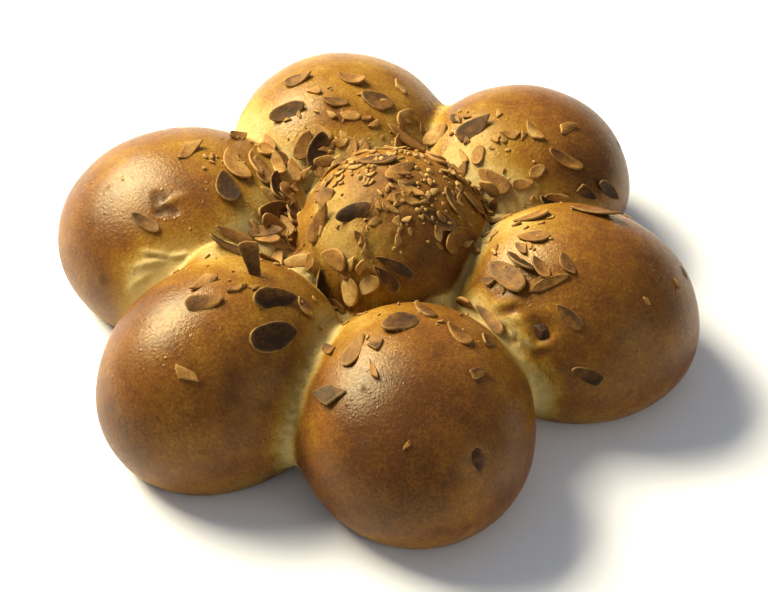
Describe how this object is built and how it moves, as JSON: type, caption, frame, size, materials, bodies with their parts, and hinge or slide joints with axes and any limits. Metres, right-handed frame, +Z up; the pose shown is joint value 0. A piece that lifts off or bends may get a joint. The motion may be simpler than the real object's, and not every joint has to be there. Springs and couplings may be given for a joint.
{
  "type": "three kings cake",
  "caption": "Festive sweet yeast bread: round dough balls baked into a flower-shaped ring round a middle ball, glossy golden crust, strewn with flaked almonds.",
  "frame": {"origin": "on the table under the middle of the loaf's footprint", "axes": "+Z up through the cake, -Y towards the side that faces the viewer in the picture"},
  "size_m": [0.2636, 0.2736, 0.0774],
  "materials": {
    "crust": "satin egg-washed bread crust",
    "almond": "matt toasted almond",
    "raisin": "satin dried fruit"
  },
  "bodies": {
    "root": {"cake": "crust"}
  },
  "joints": []
}
